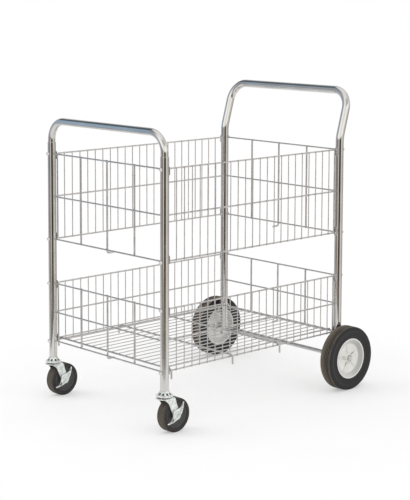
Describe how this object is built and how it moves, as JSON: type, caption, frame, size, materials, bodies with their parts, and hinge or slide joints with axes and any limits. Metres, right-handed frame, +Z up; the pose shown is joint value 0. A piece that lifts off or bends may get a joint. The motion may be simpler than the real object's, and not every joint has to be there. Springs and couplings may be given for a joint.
{
  "type": "wire shelf trolley",
  "caption": "Chrome tube trolley with an open wire basket over a wire-decked basket, swivel casters with brake levers in front, large wheels at the back and a bent push handle.",
  "frame": {"origin": "on the floor, below the middle of the whole trolley's box", "axes": "+X the trolley's right side seen from the front (casters), +Y back to the push handle and large wheels, +Z up"},
  "size_m": [0.6464, 0.878, 0.9687],
  "materials": {
    "post_chrome": "polished chrome plate on steel tube",
    "wire_zinc": "bright zinc plate on steel wire",
    "screw_steel": "plated domed screws and washers",
    "axle_steel": "bright drawn steel",
    "caster_zinc": "pale zinc plate with a faint green cast",
    "caster_rubber": "smooth matt grey rubber",
    "caster_core_plastic": "dark moulded plastic",
    "rear_rubber": "matt dark charcoal rubber",
    "rear_rim_plastic": "off-white moulded plastic, satin",
    "bush_plastic": "plain bearing plastic"
  },
  "bodies": {
    "frame": {"front_post_right": "post_chrome", "front_post_left": "post_chrome", "front_bow": "post_chrome", "rear_handle_tube": "post_chrome", "upper_front_panel": "wire_zinc", "upper_rear_panel": "wire_zinc", "upper_side_panel_right": "wire_zinc", "upper_side_panel_left": "wire_zinc", "lower_front_panel": "wire_zinc", "lower_rear_panel": "wire_zinc", "lower_side_panel_right": "wire_zinc", "lower_side_panel_left": "wire_zinc", "deck_mat": "wire_zinc", "corner_screws": "screw_steel", "corner_washers": "screw_steel", "rear_axle": "axle_steel", "rear_spacers": "axle_steel", "rear_washers": "axle_steel", "axle_caps": "axle_steel", "caster_stem_right": "caster_zinc", "caster_socket_right": "caster_zinc", "caster_top_plate_right": "caster_zinc", "caster_stem_left": "caster_zinc", "caster_socket_left": "caster_zinc", "caster_top_plate_left": "caster_zinc"},
    "caster_swivel_right": {"caster_fork_right": "caster_zinc", "caster_balls_right": "caster_zinc", "caster_bolt_right": "caster_zinc", "caster_nut_right": "caster_zinc", "caster_bush_right": "bush_plastic", "brake_pivot_right": "caster_zinc"},
    "caster_wheel_right": {"caster_core_right": "caster_core_plastic", "caster_tyre_right": "caster_rubber"},
    "brake_lever_body_right": {"brake_lever_right": "caster_zinc"},
    "rear_wheel_right": {"rear_tyre_right": "rear_rubber", "rear_rim_right": "rear_rim_plastic", "rear_bush_right": "bush_plastic"},
    "caster_swivel_left": {"caster_fork_left": "caster_zinc", "caster_balls_left": "caster_zinc", "caster_bolt_left": "caster_zinc", "caster_nut_left": "caster_zinc", "caster_bush_left": "bush_plastic", "brake_pivot_left": "caster_zinc"},
    "caster_wheel_left": {"caster_core_left": "caster_core_plastic", "caster_tyre_left": "caster_rubber"},
    "brake_lever_body_left": {"brake_lever_left": "caster_zinc"},
    "rear_wheel_left": {"rear_tyre_left": "rear_rubber", "rear_rim_left": "rear_rim_plastic", "rear_bush_left": "bush_plastic"}
  },
  "joints": [
    {"name": "caster_swivel_joint_right", "type": "hinge", "parent": "frame", "child": "caster_swivel_right", "pos_m": [0.262, -0.41055, 0.11], "axis": [0, 0, 1], "continuous": true},
    {"name": "caster_wheel_joint_right", "type": "hinge", "parent": "caster_swivel_right", "child": "caster_wheel_right", "pos_m": [0.262, -0.37655, 0.0508], "axis": [1, 0, 0], "continuous": true},
    {"name": "brake_lever_joint_right", "type": "hinge", "parent": "caster_swivel_right", "child": "brake_lever_body_right", "pos_m": [0.28515, -0.3865, 0.0597], "axis": [1, 0, 0], "range_deg": [-20, 0]},
    {"name": "rear_wheel_joint_right", "type": "hinge", "parent": "frame", "child": "rear_wheel_right", "pos_m": [0.3007, 0.33745, 0.1016], "axis": [1, 0, 0], "continuous": true},
    {"name": "caster_swivel_joint_left", "type": "hinge", "parent": "frame", "child": "caster_swivel_left", "pos_m": [-0.262, -0.41055, 0.11], "axis": [0, 0, 1], "continuous": true},
    {"name": "caster_wheel_joint_left", "type": "hinge", "parent": "caster_swivel_left", "child": "caster_wheel_left", "pos_m": [-0.262, -0.37655, 0.0508], "axis": [1, 0, 0], "continuous": true},
    {"name": "brake_lever_joint_left", "type": "hinge", "parent": "caster_swivel_left", "child": "brake_lever_body_left", "pos_m": [-0.23885, -0.3865, 0.0597], "axis": [1, 0, 0], "range_deg": [-20, 0]},
    {"name": "rear_wheel_joint_left", "type": "hinge", "parent": "frame", "child": "rear_wheel_left", "pos_m": [-0.3007, 0.33745, 0.1016], "axis": [1, 0, 0], "continuous": true}
  ]
}
